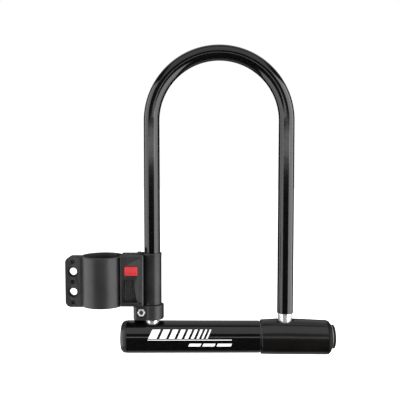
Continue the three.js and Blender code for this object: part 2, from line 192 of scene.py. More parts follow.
finishes = {
    "bracket_plastic": bracketPlastic(),
    "black_vinyl": glossyVinyl(),
    "cuff_plastic": satinPlastic(
        "cuffPlastic", (0.002, 0.0018, 0.0016), (0.004, 0.0036, 0.0033), 0.23, 700.0, 0.000008),
    "liner_rubber": satinPlastic(
        "linerRubber", (0.003, 0.003, 0.003), (0.006, 0.006, 0.006), 0.8, 1200.0, 0.0001),
    "button_plastic": satinPlastic(
        "redPlastic", (0.3, 0.006, 0.01), (0.37, 0.009, 0.014), 0.42, 900.0, 0.00003),
    "bare_steel": wornMetal("bareSteel", (0.66, 0.66, 0.67), (0.84, 0.84, 0.85), 0.22, (1.0, 1.0, 5.0), 0.75),
    "plated_steel": wornMetal("platedSteel", (0.6, 0.6, 0.61), (0.8, 0.8, 0.81), 0.26, (1.0, 1.0, 6.0), 0.6),
    "dark_steel": wornMetal("darkSteel", (0.12, 0.12, 0.125), (0.24, 0.24, 0.25), 0.38, (6.0, 1.0, 1.0)),
    "cylinder_brass": wornMetal("turnedBrass", (0.52, 0.36, 0.13), (0.68, 0.5, 0.21), 0.3, (8.0, 1.0, 1.0)),
    "spring_steel": wornMetal("springSteel", (0.4, 0.4, 0.41), (0.6, 0.6, 0.61), 0.28, (1.0, 4.0, 1.0)),
    "cap_rubber": satinPlastic(
        "capRubber", (0.002, 0.002, 0.002), (0.004, 0.004, 0.004), 0.5, 900.0, 0.00003, 0.1),
    # A lighter copy of the cuff plastic for the end plug: painted highlight standing in for the sheen on its
    # rounded end.
    "end_plastic_painted_sheen": satinPlastic(
        "endPlasticPaintedSheen", (0.012, 0.012, 0.012), (0.022, 0.022, 0.022), 0.34, 800.0, 0.00003),
    "dull_ring": wornMetal("dullRing", (0.16, 0.16, 0.16), (0.26, 0.26, 0.26), 0.4, (4.0, 1.0, 1.0), 0.7),
    "print": satinPlastic("printedInk", (0.62, 0.62, 0.61), (0.74, 0.74, 0.73), 0.5, 1100.0, 0.00002),
}
print("materials made")


# Shape helpers

# Merge distances in millimetres, angles in degrees
shaping = {"mergeTurned": 0.001, "mergeCut": 0.0005, "smooth": 32.0, "sharp": 38.0, "flat": 0.4}


def finishPiece(name, shape, body, nodes, slotName, finish=None):
    bmesh.ops.remove_doubles(shape, verts=shape.verts, dist=shaping["mergeTurned"])
    bmesh.ops.recalc_face_normals(shape, faces=shape.faces)
    bmesh.ops.scale(shape, vec=(0.001, 0.001, 0.001), verts=shape.verts)
    mesh = bpy.data.meshes.new(name)
    shape.to_mesh(mesh)
    shape.free()
    mesh.polygons.foreach_set("use_smooth", [True] * len(mesh.polygons))
    mesh.set_sharp_from_angle(angle=radians(shaping["smooth"]))
    mesh.materials.append(finishes[finish or slotName])
    piece = bpy.data.objects.new(name, mesh)
    bpy.context.scene.collection.objects.link(piece)
    evening = piece.modifiers.new("evenNormals", "WEIGHTED_NORMAL")
    evening.keep_sharp = True
    evening.weight = 60
    if nodes:
        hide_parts(*nodes)
    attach(piece, body)
    return piece


axisTurns = {
    "z": Matrix.Identity(4),
    "x": Matrix(((0, 0, 1, 0), (0, 1, 0, 0), (-1, 0, 0, 0), (0, 0, 0, 1))),
    "y": Matrix(((1, 0, 0, 0), (0, 0, 1, 0), (0, -1, 0, 0), (0, 0, 0, 1))),
}


# Spins a profile of (radius, along, rounding) corners about an axis.
# A part turn keeps its two end faces.
def turnedShape(profile, axis, centre, steps=96, start=0.0, turn=360.0):
    shape = bmesh.new()
    corners = [shape.verts.new((corner[0], 0.0, corner[1])) for corner in profile]
    shape.faces.new(corners)
    for corner, entry in zip(corners, profile):
        if len(entry) > 2:
            bmesh.ops.bevel(shape, geom=[corner], offset=entry[2], offset_type="OFFSET", segments=4,
                            profile=0.5, affect="VERTICES", clamp_overlap=True, material=-1)
    full = turn >= 360.0
    if full:
        bmesh.ops.delete(shape, geom=shape.faces[:], context="FACES_ONLY")
        onAxis = [edge for edge in shape.edges if all(abs(vert.co.x) < 1e-6 for vert in edge.verts)]
        bmesh.ops.delete(shape, geom=onAxis, context="EDGES")
    bmesh.ops.rotate(shape, verts=shape.verts, matrix=Matrix.Rotation(radians(start), 3, "Z"))
    bmesh.ops.spin(shape, geom=shape.verts[:] + shape.edges[:] + shape.faces[:], cent=(0, 0, 0),
                   axis=(0, 0, 1), angle=radians(turn), steps=steps, use_merge=full)
    bmesh.ops.transform(shape, matrix=Matrix.Translation(centre) @ axisTurns[axis], verts=shape.verts)
    bmesh.ops.remove_doubles(shape, verts=shape.verts, dist=shaping["mergeTurned"])
    bmesh.ops.recalc_face_normals(shape, faces=shape.faces)
    return shape


def arcPoints(centreU, centreV, radius, first, last, steps):
    angles = [radians(first + (last - first) * step / steps) for step in range(steps + 1)]
    return [(centreU + radius * cos(angle), centreV + radius * sin(angle)) for angle in angles]


def circleOutline(centreU, centreV, radius, steps=48):
    return arcPoints(centreU, centreV, radius, 0, 360, steps)[:-1]


def roundBox(left, right, bottom, top, radius, steps=6):
    return (arcPoints(right - radius, bottom + radius, radius, -90, 0, steps)
            + arcPoints(right - radius, top - radius, radius, 0, 90, steps)
            + arcPoints(left + radius, top - radius, radius, 90, 180, steps)
            + arcPoints(left + radius, bottom + radius, radius, 180, 270, steps))


plateTurns = {
    "z": Matrix.Identity(4),
    "y": Matrix(((1, 0, 0, 0), (0, 0, 1, 0), (0, 1, 0, 0), (0, 0, 0, 1))),
}


# A plate cut to flat outlines, the first outside and the rest holes, with its rims rounded.
def plateShape(outlines, axis, low, high, rim=0.0):
    curve = bpy.data.curves.new("plateOutline", "CURVE")
    curve.dimensions = "2D"
    curve.fill_mode = "BOTH"
    for outline in outlines:
        spline = curve.splines.new("POLY")
        spline.points.add(len(outline) - 1)
        for point, (u, v) in zip(spline.points, outline):
            point.co = (u, v, 0.0, 1.0)
        spline.use_cyclic_u = True
    curve.extrude = (high - low) / 2 - rim
    curve.bevel_depth = rim
    curve.offset = -rim
    curve.bevel_resolution = 2
    holder = bpy.data.objects.new("plateOutline", curve)
    mesh = bpy.data.meshes.new_from_object(holder)
    shape = bmesh.new()
    shape.from_mesh(mesh)
    bpy.data.objects.remove(holder)
    bpy.data.curves.remove(curve)
    bpy.data.meshes.remove(mesh)
    bmesh.ops.translate(shape, vec=(0, 0, (high + low) / 2), verts=shape.verts)
    bmesh.ops.transform(shape, matrix=plateTurns[axis], verts=shape.verts)
    bmesh.ops.remove_doubles(shape, verts=shape.verts, dist=shaping["mergeCut"])
    bmesh.ops.recalc_face_normals(shape, faces=shape.faces)
    return shape


def blockShape(low, high):
    shape = bmesh.new()
    bmesh.ops.create_cube(shape, size=1.0)
    bmesh.ops.scale(shape, vec=Vector(high) - Vector(low), verts=shape.verts)
    bmesh.ops.translate(shape, vec=(Vector(high) + Vector(low)) / 2, verts=shape.verts)
    return shape


def looseObject(shape):
    mesh = bpy.data.meshes.new("looseShape")
    shape.to_mesh(mesh)
    shape.free()
    loose = bpy.data.objects.new("looseShape", mesh)
    bpy.context.scene.collection.objects.link(loose)
    return loose


# Joins shapes to a base and cuts others from it, one after another.
def worked(base, added=(), removed=()):
    body = looseObject(base)
    tools = [(looseObject(shape), "UNION") for shape in added]
    tools += [(looseObject(shape), "DIFFERENCE") for shape in removed]
    for tool, operation in tools:
        step = body.modifiers.new("step", "BOOLEAN")
        step.operation = operation
        step.solver = "EXACT"
        step.object = tool
    bpy.context.view_layer.update()
    mesh = bpy.data.meshes.new_from_object(body.evaluated_get(bpy.context.evaluated_depsgraph_get()))
    shape = bmesh.new()
    shape.from_mesh(mesh)
    bpy.data.meshes.remove(mesh)
    for loose in [body] + [tool for tool, operation in tools]:
        looseMesh = loose.data
        bpy.data.objects.remove(loose)
        bpy.data.meshes.remove(looseMesh)
    bmesh.ops.remove_doubles(shape, verts=shape.verts, dist=shaping["mergeCut"])
    bmesh.ops.dissolve_limit(shape, angle_limit=radians(shaping["flat"]), verts=shape.verts,
                             edges=shape.edges, delimit={"NORMAL"})
    return shape


def edgesOver(shape, angle):
    inside = [edge for edge in shape.edges if len(edge.link_faces) == 2]
    return [edge for edge in inside if edge.calc_face_angle() > radians(angle)]


def softenEdges(shape, width):
    bmesh.ops.bevel(shape, geom=edgesOver(shape, shaping["sharp"]), offset=width, offset_type="OFFSET",
                    segments=2, profile=0.5, affect="EDGES", clamp_overlap=True, loop_slide=True,
                    material=-1)
    return shape


def mergedShapes(shapes):
    whole = shapes[0]
    for other in shapes[1:]:
        mesh = bpy.data.meshes.new("looseShape")
        other.to_mesh(mesh)
        other.free()
        whole.from_mesh(mesh)
        bpy.data.meshes.remove(mesh)
    return whole


# Shackle: a steel bar bent to a U, in a vinyl coat that is a shade thinner round the bow

shackle = {
    "bar": 5.95, "span": 115.0, "bowZ": 137.2, "footZ": -56.9, "chamfer": 0.9,
    "sides": 72, "bowSteps": 120, "legSteps": 12, "notch": (160.3, 168.0, -53.3, -45.3, 0.7),
}
coat = {
    "radius": 6.85, "wall": 0.75, "end": -28.1, "rimAngle": 60, "outside": 6.5,
    "bowScale": 0.975, "growth": 0.035, "growthLength": 165.0,
}
bowCentre = (legX["left"] + shackle["span"] / 2, 0.0, shackle["bowZ"])


def pulledRing(shape, edges, move=None, scale=None, centre=(0, 0, 0)):
    made = bmesh.ops.extrude_edge_only(shape, edges=edges)["geom"]
    ring = [item for item in made if isinstance(item, bmesh.types.BMVert)]
    if move:
        bmesh.ops.translate(shape, vec=move, verts=ring)
    if scale:
        space = Matrix.Translation([-part for part in centre])
        bmesh.ops.scale(shape, vec=scale, verts=ring, space=space)
    return [item for item in made if isinstance(item, bmesh.types.BMEdge)]


def uTube(radius, endZ):
    shape = bmesh.new()
    place = Matrix.Translation((legX["left"], 0.0, endZ))
    bmesh.ops.create_circle(shape, cap_ends=False, segments=shackle["sides"], radius=radius, matrix=place)
    first = shape.edges[:]
    ring = first
    rise = (shackle["bowZ"] - endZ) / shackle["legSteps"]
    for step in range(shackle["legSteps"]):
        ring = pulledRing(shape, ring, move=(0, 0, rise))
    verts = list({vert for edge in ring for vert in edge.verts})
    bent = bmesh.ops.spin(shape, geom=verts + ring, cent=bowCentre, axis=(0, 1, 0), angle=pi,
                          steps=shackle["bowSteps"], use_merge=False)["geom_last"]
    ring = [item for item in bent if isinstance(item, bmesh.types.BMEdge)]
    for step in range(shackle["legSteps"]):
        ring = pulledRing(shape, ring, move=(0, 0, -rise))
    return shape, first, ring


def shackleBar():
    chamfer = shackle["chamfer"]
    shape, left, right = uTube(shackle["bar"], shackle["footZ"] + chamfer)
    for ring, side in ((left, "left"), (right, "right")):
        centre = (legX[side], 0.0, shackle["footZ"] + chamfer)
        ring = pulledRing(shape, ring, move=(0, 0, -chamfer), scale=(0.86, 0.86, 1.0), centre=centre)
        ring = pulledRing(shape, ring, scale=(0.3, 0.3, 1.0), centre=centre)
        bmesh.ops.contextual_create(shape, geom=ring)
    bmesh.ops.recalc_face_normals(shape, faces=shape.faces)
    notch = plateShape([roundBox(*shackle["notch"])], "y", -8.0, 8.0)
    shape = worked(shape, removed=[notch])
    finishPiece("shackleBar", shape, "shackle", ["shackle_bar"], "bare_steel")


def shackleCoating():
    shape = uTube(coat["radius"], coat["end"])[0]
    bmesh.ops.recalc_face_normals(shape, faces=shape.faces)
    bmesh.ops.solidify(shape, geom=shape.faces[:], thickness=coat["wall"])
    bmesh.ops.bevel(shape, geom=edgesOver(shape, coat["rimAngle"]), offset=0.15, offset_type="OFFSET",
                    segments=2, profile=0.5, affect="EDGES", clamp_overlap=True, material=-1)
    for vert in shape.verts:
        if vert.co.z > shackle["bowZ"]:
            outward = Vector((vert.co.x - bowCentre[0], 0.0, vert.co.z - shackle["bowZ"])).normalized()
            axisPoint = Vector(bowCentre) + outward * shackle["span"] / 2
        else:
            side = "left" if vert.co.x < bowCentre[0] else "right"
            axisPoint = Vector((legX[side], 0.0, vert.co.z))
        down = min(max((shackle["bowZ"] - vert.co.z) / coat["growthLength"], 0.0), 1.0)
        reach = vert.co - axisPoint
        if reach.length > coat["outside"]:
            vert.co = axisPoint + reach * (coat["bowScale"] + coat["growth"] * down)
    finishPiece("shackleCoating", shape, "shackle", ["shackle_coating"], "black_vinyl")


shackleBar()
shackleCoating()
print("shackle made")


# Carrier: a sleeve with a tongue, and a split collar clamped round the leg

sleeve = {"bore": 7.1, "radius": 8.0, "rim": 8.2, "bottom": -20.0, "top": 24.4}
tongue = {"left": 29.8, "shoulder": 32.8, "head": 4.6, "neck": 2.6, "top": 24.8, "rootReach": 7.3}
collar = {
    "radius": 9.6, "bore": 7.0, "bottom": -33.0, "earTop": -21.0, "top": -20.3, "lipBottom": -21.6,
    "earLeft": 26.6, "earHalf": 8.5, "earCorner": 4.0, "slitHalf": 0.6, "boreAngle": 174.8,
    "screwX": 33.7, "screwZ": -26.4, "screwHole": 1.85,
}


def carrierSleeve():
    bore, radius, rim, bottom, top = (sleeve[key] for key in ("bore", "radius", "rim", "bottom", "top"))
    tube = turnedShape(
        [(bore, bottom, 0.3), (radius, bottom, 0.4), (radius, 22.5),
         (rim, 22.8), (rim, top, 0.5), (bore, top, 0.4)], "z", (legX["left"], 0, 0))
    left, shoulder, head, neck = (tongue[key] for key in ("left", "shoulder", "head", "neck"))
    root = legX["left"] - tongue["rootReach"]
    outline = [(left, -head), (shoulder, -head), (shoulder, -neck), (root, -neck),
               (root, neck), (shoulder, neck), (shoulder, head), (left, head)]
    rail = plateShape([outline], "z", bottom, tongue["top"], 0.35)
    shape = worked(tube, added=[rail])
    finishPiece("carrierSleeve", shape, "shackle", ["carrier_sleeve"], "bracket_plastic")


def carrierCollar():
    legPlace = (legX["left"], 0.0)
    left, half, corner, slit = (collar[key] for key in ("earLeft", "earHalf", "earCorner", "slitHalf"))
    radius, bore, turn = collar["radius"], collar["bore"], collar["boreAngle"]
    outline = ([(left, -slit)] + arcPoints(left + corner, corner - half, corner, 180, 270, 8)
               + arcPoints(*legPlace, radius, 242.3, 477.7, 60)
               + arcPoints(left + corner, half - corner, corner, 90, 180, 8) + [(left, slit)]
               + arcPoints(*legPlace, bore, turn, -turn, 60))
    body = plateShape([outline], "z", collar["bottom"], collar["earTop"], 0.55)
    low, high, lipRadius = collar["lipBottom"], collar["top"], radius - 0.2
    lip = turnedShape([(bore, low), (lipRadius, low), (lipRadius, high, 0.4), (bore, high)],
                      "z", (legX["left"], 0, 0), 96, -turn, 2 * turn)
    ribOutline = arcPoints(*legPlace, radius + 0.3, 4, 50, 12) + arcPoints(*legPlace, 8.6, 50, 4, 12)
    rib = plateShape([ribOutline], "z", -32.6, -20.5, 0.15)
    x, z = collar["screwX"], collar["screwZ"]
    nutSeat = plateShape([circleOutline(x, z, 4.05)], "y", -10.0, -5.4)
    headSeat = plateShape([circleOutline(x, z, 3.8)], "y", 5.5, 10.0)
    screwHole = plateShape([circleOutline(x, z, collar["screwHole"], 32)], "y", -9.0, 9.0)
    shape = worked(body, added=[lip, rib], removed=[nutSeat, headSeat, screwHole])
    finishPiece("carrierCollar", softenEdges(shape, 0.22), "shackle", ["carrier_collar"], "bracket_plastic")


def hexOutline(centreU, centreV, acrossFlats):
    return arcPoints(centreU, centreV, acrossFlats / 2 / cos(pi / 6), 0, 360, 6)[:-1]


def collarFixings():
    x, z = collar["screwX"], collar["screwZ"]
    outlines = [hexOutline(x, z, 6.2), circleOutline(x, z, collar["screwHole"], 32)]
    nut = plateShape(outlines, "y", -8.1, -5.7, 0.3)
    finishPiece("collarNut", nut, "shackle", ["collar_nut"], "plated_steel")
    screw = turnedShape(
        [(0, -7.6), (1.6, -7.6, 0.4), (1.6, 5.8), (3.3, 5.8, 0.2), (3.3, 8.0, 0.5), (0, 8.0)],
        "y", (x, 0, z), 48)
    socket = plateShape([hexOutline(x, z, 2.8)], "y", 6.6, 9.0)
    finishPiece("collarScrew", worked(screw, removed=[socket]), "shackle", ["collar_screw"], "dark_steel")


carrierSleeve()
carrierCollar()
collarFixings()
print("carrier made")


# Bracket: two clamp halves on a hinge pin, with the release housing moulded on the front half

band = {"bore": 15.8, "radius": 18.6, "bottom": -21.0, "top": 22.0}
flange = {
    "left": -31.5, "top": 21.4, "bottom": -22.0, "corner": 5.0, "root": -16.4, "holeX": -24.7, "pitch": 8.8,
    "hole": 3.1, "backHole": 5.4, "seat": 4.5, "relief": 4.6, "pit": 1.85,
}
housing = {
    "left": 16.2, "right": 36.1, "front": -13.0, "back": 9.0, "bottom": -20.0, "top": 23.3, "corner": 1.4,
    "saddle": 8.4, "slotMouth": 33.15, "slotBack": 29.45, "slotNeck": 2.95, "slotHead": 4.95,
}


def flangePlate(low, high, holeRadius):
    left, root, corner = flange["left"], flange["root"], flange["corner"]
    outline = ([(root, flange["bottom"]), (root, flange["top"])]
               + arcPoints(left + corner, flange["top"] - corner, corner, 90, 180, 10)
               + arcPoints(left + corner, flange["bottom"] + corner, corner, 180, 270, 10))
    holes = [circleOutline(flange["holeX"], side * flange["pitch"], holeRadius) for side in (-1, 1)]
    return plateShape([outline] + holes, "y", low, high, 0.4)


def bandPart(start, turn, steps):
    profile = [(band["bore"], band["bottom"], 0.5), (band["radius"], band["bottom"], 0.7),
               (band["radius"], band["top"], 0.7), (band["bore"], band["top"], 0.5)]
    return turnedShape(profile, "z", (0, 0, 0), steps, start, turn)


def knuckle(low, high):
    return turnedShape([(0, low), (3.2, low, 0.3), (3.2, high, 0.3), (0, high)], "z", (*hingePlace, 0), 48)


def hingeHole():
    return plateShape([circleOutline(*hingePlace, 1.75, 32)], "z", -24.0, 25.0)


# The housing's block, with the saddle for the leg and the T slot for the sleeve's tongue in its right side.
def housingBody():
    left, right, front, back = (housing[key] for key in ("left", "right", "front", "back"))
    corner, saddle, mouth, deep = (housing[key] for key in ("corner", "saddle", "slotMouth", "slotBack"))
    neck, head = housing["slotNeck"], housing["slotHead"]
    legPlace = (legX["left"], 0.0)
    outline = (arcPoints(left + corner, front + corner, corner, 180, 270, 6)
               + arcPoints(right - corner, front + corner, corner, 270, 360, 6)
               + arcPoints(*legPlace, saddle, 217.1, 200.6, 6)
               + [(mouth, -neck), (mouth, -head), (deep, -head), (deep, head), (mouth, head), (mouth, neck)]
               + arcPoints(*legPlace, saddle, 159.4, 142.9, 6)
               + arcPoints(right - corner, back - corner, corner, 0, 90, 6)
               + arcPoints(left + corner, back - corner, corner, 90, 180, 6))
    return plateShape([outline], "z", housing["bottom"], housing["top"], 0.7)


thumbRecess = {
    "bottom": -16.2, "top": 2.8, "floor": -9.4, "right": 31.0, "flare": 2.6,
    "ribs": (20.3, 22.3, 24.3, 26.3, 28.3),
}


def thumbRecessShape():
    bottom, top, steps = thumbRecess["bottom"], thumbRecess["top"], 6
    flare = [(thumbRecess["right"] - thumbRecess["flare"] * (1 - (1 - step / steps) ** 2),
              bottom + (top - bottom) * step / steps) for step in range(steps + 1)]
    outline = [(18.0, bottom)] + flare + [(19.3, top)]
    return plateShape([outline], "y", -14.0, thumbRecess["floor"])


# Round cutters for the flange, at the given multiples of its hole pitch.
def flangeDiscs(places, radius, low, high, steps=48):
    holeX, pitch = flange["holeX"], flange["pitch"]
    return [plateShape([circleOutline(holeX, place * pitch, radius, steps)], "y", low, high)
            for place in places]


# Boxes are left, right, bottom, top and corner; blocks are their low and high corners.
hollows = {
    "buttonSeat": (19.8, 31.5, 6.1, 14.6, 1.2),
    "stemWay": ((21.9, -7.5, 7.5), (27.4, -4.5, 13.1)),
    "cavity": ((21.2, -5.5, 4.0), (28.2, 10.0, 17.0)),
    "catchWay": ((27.2, -1.2, 8.6), (29.8, 4.75, 12.2)),
    "coverSeat": ((20.1, 7.0, -0.3), (32.7, 10.0, 20.7)),
    "coverScrew": (24.0, 2.0), "sideHole": (33.4, -17.1, 0.8, 20),
}


def housingHollows():
    front = housing["front"]
    return [
        plateShape([roundBox(*hollows["buttonSeat"])], "y", front - 1.0, -6.5),
        blockShape(*hollows["stemWay"]),
        blockShape(*hollows["cavity"]),
        blockShape(*hollows["catchWay"]),
        blockShape(*hollows["coverSeat"]),
        plateShape([circleOutline(*hollows["coverScrew"], 1.2, 24)], "y", 0.0, 9.5),
        plateShape([circleOutline(*hollows["sideHole"])], "y", front - 1.0, front + 2.0),
    ]


def clampFront():
    knuckles = []
    for low, high in ((10.0, 20.0), (-20.0, -10.0)):
        knuckles += [knuckle(low, high), blockShape((16.6, 8.0, low), (19.8, hingePlace[1], high))]
    seats = flangeDiscs((-1, 1), flange["seat"], -8.0, -4.4)
    seats += flangeDiscs((-1, 1), flange["relief"], -3.7, 1.0)
    pits = flangeDiscs((-2, 0, 2), flange["pit"], -8.0, -4.2, 32)
    room = housingHollows()
    step = plateShape([roundBox(-18.6, -14.5, -20.6, 21.2, 0.4)], "y", -7.3, -2.0, 0.3)
    ear = flangePlate(-6.0, -0.5, flange["hole"])
    shape = worked(bandPart(-178.2, 206.2, 110), added=[ear, step, housingBody()] + knuckles,
                   removed=[hingeHole(), thumbRecessShape()] + seats + pits + room)
    softenEdges(shape, 0.3)
    floor = thumbRecess["floor"]
    ribs = [plateShape([roundBox(x - 0.5, x + 0.5, -15.4, 2.0, 0.4, 4)], "y", floor - 0.9, floor + 0.6, 0.2)
            for x in thumbRecess["ribs"]]
    finishPiece("clampFront", mergedShapes([shape] + ribs), "bracket", ["clamp_front"], "bracket_plastic")


def clampBack():
    web = blockShape((12.0, 11.8, -9.7), (hingePlace[0], 16.2, 9.7))
    ear = flangePlate(0.5, 6.0, flange["backHole"])
    shape = worked(bandPart(34.0, 144.2, 80), added=[ear, knuckle(-9.7, 9.7), web], removed=[hingeHole()])
    finishPiece("clampBack", softenEdges(shape, 0.3), "rear_clamp", ["clamp_back"], "bracket_plastic")


liner = {"low": -20.4, "high": 21.4, "ridges": 8, "outer": 15.6, "inner": 14.3, "groove": 14.7}


def linerPad(name, node, body, start, turn, steps):
    low, high, outer, inner, groove = (liner[key] for key in ("low", "high", "outer", "inner", "groove"))
    pitch = (high - low) / liner["ridges"]
    profile = [(outer, high, 0.2), (outer, low, 0.2)]
    for ridge in range(liner["ridges"]):
        base = low + ridge * pitch
        profile += [(groove, base + 0.15 * pitch), (inner, base + 0.3 * pitch),
                    (inner, base + 0.7 * pitch), (groove, base + 0.85 * pitch)]
    pad = turnedShape(profile, "z", (0, 0, 0), steps, start, turn)
    finishPiece(name, pad, body, [node], "liner_rubber")


def hingeAndCover():
    pin = turnedShape([(0, -20.4), (1.5, -20.4, 0.4), (1.5, 20.4, 0.4), (0, 20.4)], "z", (*hingePlace, 0), 40)
    finishPiece("hingePin", pin, "bracket", ["clamp_hinge_pin"], "plated_steel")
    x, z = hollows["coverScrew"]
    outlines = [roundBox(20.4, 32.4, 0.0, 20.4, 1.0), circleOutline(x, z, 1.4, 32)]
    panel = plateShape(outlines, "y", 7.3, 9.0, 0.2)
    sink = turnedShape([(0, 7.9), (2.5, 7.9, 0.1), (2.5, 9.6), (0, 9.6)], "y", (x, 0, z), 40)
    recess = plateShape([roundBox(21.6, 31.2, 5.6, 19.2, 0.8)], "y", 8.6, 9.6)
    shape = softenEdges(worked(panel, removed=[sink, recess]), 0.12)
    finishPiece("housingCover", shape, "bracket", ["housing_cover"], "bracket_plastic")
    screw = turnedShape([(0, 1.0), (1.0, 1.0), (1.0, 8.1), (2.2, 8.25, 0.1), (2.2, 9.0, 0.4), (0, 9.0)],
                        "y", (x, 0, z), 40)
    cross = [blockShape((x - wide, 8.3, z - tall), (x + wide, 9.4, z + tall))
             for wide, tall in ((1.2, 0.25), (0.25, 1.2))]
    finishPiece("coverScrew", worked(screw, removed=cross), "bracket", ["cover_screw"], "plated_steel")


def releaseButton():
    face = plateShape([roundBox(20.1, 31.2, 6.45, 14.25, 1.0)], "y", -13.4, -10.5, 0.55)
    grip = plateShape([roundBox(20.9, 30.4, 7.4, 8.4, 0.4)], "y", -14.3, -12.8, 0.35)
    finishPiece("releaseButton", worked(face, added=[grip]), "release", ["release_button"], "button_plastic")


# The button's spring, which shortens towards its rear end as the button goes in
spring = {
    "x": 24.65, "front": 2.9, "z": 10.3, "coil": 1.9, "wire": 0.35, "length": 3.7, "turns": 3.5,
    "steps": 126, "pressed": 0.42,
}


def buttonSpring():
    shape = bmesh.new()
    bmesh.ops.create_circle(shape, cap_ends=True, radius=spring["wire"], segments=12)
    bmesh.ops.rotate(shape, verts=shape.verts, matrix=Matrix.Rotation(pi / 2, 3, "X"))
    bmesh.ops.translate(shape, vec=(spring["coil"], 0, 0), verts=shape.verts)
    bmesh.ops.spin(shape, geom=shape.verts[:] + shape.edges[:] + shape.faces[:], cent=(0, 0, 0),
                   axis=(0, 0, 1), dvec=(0, 0, spring["length"] / spring["steps"]),
                   angle=2 * pi * spring["turns"], steps=spring["steps"], use_merge=False)
    centre = (spring["x"], spring["front"], spring["z"])
    bmesh.ops.transform(shape, matrix=Matrix.Translation(centre) @ axisTurns["y"], verts=shape.verts)
    piece = finishPiece("buttonSpring", shape, "bracket", ["button_spring"], "plated_steel", "spring_steel")
    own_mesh(piece)


clampFront()
clampBack()
buttonSpring()
linerPad("linerFront", "liner_front", "bracket", -174.0, 194.0, 90)
linerPad("linerBack", "liner_back", "rear_clamp", 42.0, 132.0, 64)
hingeAndCover()
releaseButton()
print("bracket made")


# Crossbar: a steel tube in a vinyl skin, with a plug at one end and the key-end cuff at the other

crossbar = {
    "left": 15.6, "skinLeft": 20.9, "seam": 136.7, "right": 197.3, "tube": 12.8,
    "skinWide": 14.0, "skinNarrow": 13.8, "cuff": 14.9, "sides": 144, "legHole": 8.0, "legHoleTop": 18.0,
}
crossbarAxis = (0, 0, crossbarZ)
rivetAxis = (0, 8.3, crossbarZ)


def legHole(side):
    radius, top = crossbar["legHole"], crossbarZ + crossbar["legHoleTop"]
    profile = [(0, crossbarZ), (radius, crossbarZ), (radius, top), (0, top)]
    return turnedShape(profile, "z", (legX[side], 0, 0), 72)


def crossbarSkin():
    left, end, bore = crossbar["skinLeft"], crossbar["seam"] - 1.0, crossbar["tube"]
    skin = turnedShape([(bore, left), (crossbar["skinWide"], left, 0.35), (crossbar["skinNarrow"], end, 0.4),
                        (bore, end)], "x", crossbarAxis, crossbar["sides"])
    shape = softenEdges(worked(skin, removed=[legHole("left")]), 0.3)
    finishPiece("crossbarSkin", shape, "crossbar", ["crossbar_skin"], "black_vinyl")


def endPlug():
    left = crossbar["left"]
    step, end = left + 5.0, left + 13.0
    plug = turnedShape([(0, left), (13.9, left, 4.3), (13.9, step, 0.3), (9.9, step), (9.9, end, 0.4),
                        (0, end)], "x", crossbarAxis, crossbar["sides"])
    # The plug takes the lighter copy of the cuff plastic, a painted highlight.
    finishPiece("endPlug", plug, "crossbar", ["end_plug"], "cuff_plastic", "end_plastic_painted_sheen")


cuffShape = {
    "mouth": 6.0, "wall": 3.0, "corner": 3.9, "matte": (1.3, 3.6),
    "swell": 0.8, "swellCentre": 2.0, "swellReach": 24.0, "sag": 0.6, "sagReach": 39.0,
}


# The cuff is fuller over the foot and drops a little towards the key.
def cuffSag(place):
    above = max((place.z - crossbarZ) / crossbar["cuff"], 0.0)
    fromCentre = abs(place.x - legX["right"] - cuffShape["swellCentre"])
    near = max(1.0 - fromCentre / cuffShape["swellReach"], 0.0)
    along = min(max((place.x - legX["right"]) / cuffShape["sagReach"], 0.0), 1.0)
    return cuffShape["swell"] * above * near * near * (3.0 - 2.0 * near) - cuffShape["sag"] * along


def keyEndCuff():
    seam, right, wide, bore = crossbar["seam"], crossbar["right"], crossbar["cuff"], crossbar["tube"]
    mouth, wall, foot = cuffShape["mouth"], right - cuffShape["wall"], legX["right"]
    cuff = turnedShape([(bore, seam), (wide - 0.1, seam, 0.6), (wide + 0.15, foot - 8.0),
                        (wide + 0.1, foot + 8.0), (wide - 0.15, right, cuffShape["corner"]),
                        (mouth, right, 0.3), (mouth, wall), (bore, wall)],
                       "x", crossbarAxis, crossbar["sides"])
    rivetHole = turnedShape([(0, right - 4.0), (1.5, right - 4.0), (1.5, right + 1.0), (0, right + 1.0)],
                            "x", rivetAxis, 32)
    shape = softenEdges(worked(cuff, removed=[legHole("right"), rivetHole]), 0.35)
    for vert in shape.verts:
        vert.co.z += cuffSag(vert.co)
    low, high = cuffShape["matte"]
    for face in shape.faces:
        if low < right - face.calc_center_median().x < high:
            face.material_index = 1
    piece = finishPiece("keyEndCuff", shape, "crossbar", ["key_end_cuff"], "cuff_plastic")
    piece.data.materials.append(finishes["cap_rubber"])


bushing = {"inner": 6.4, "outer": 7.75, "bottom": 9.0, "half": 9.0, "ceiling": 24.0}


# A ring in a leg's hole, cut off on top to the curve of the crossbar's crown.
def footBushing(name, node, side, crown):
    inner, outer, middle = bushing["inner"], bushing["outer"], legX[side]
    low, high = crossbarZ + bushing["bottom"], crossbarZ + crossbar["legHoleTop"]
    ring = turnedShape([(inner, low), (outer, low), (outer, high), (inner, high)],
                       "z", (middle, 0, 0), 72)
    left, right, ceiling = middle - bushing["half"], middle + bushing["half"], bushing["ceiling"]
    above = turnedShape([(crown, left), (ceiling, left), (ceiling, right), (crown, right)],
                        "x", crossbarAxis, crossbar["sides"])
    shape = softenEdges(worked(ring, removed=[above]), 0.2)
    finishPiece(name, shape, "crossbar", [node], "liner_rubber")


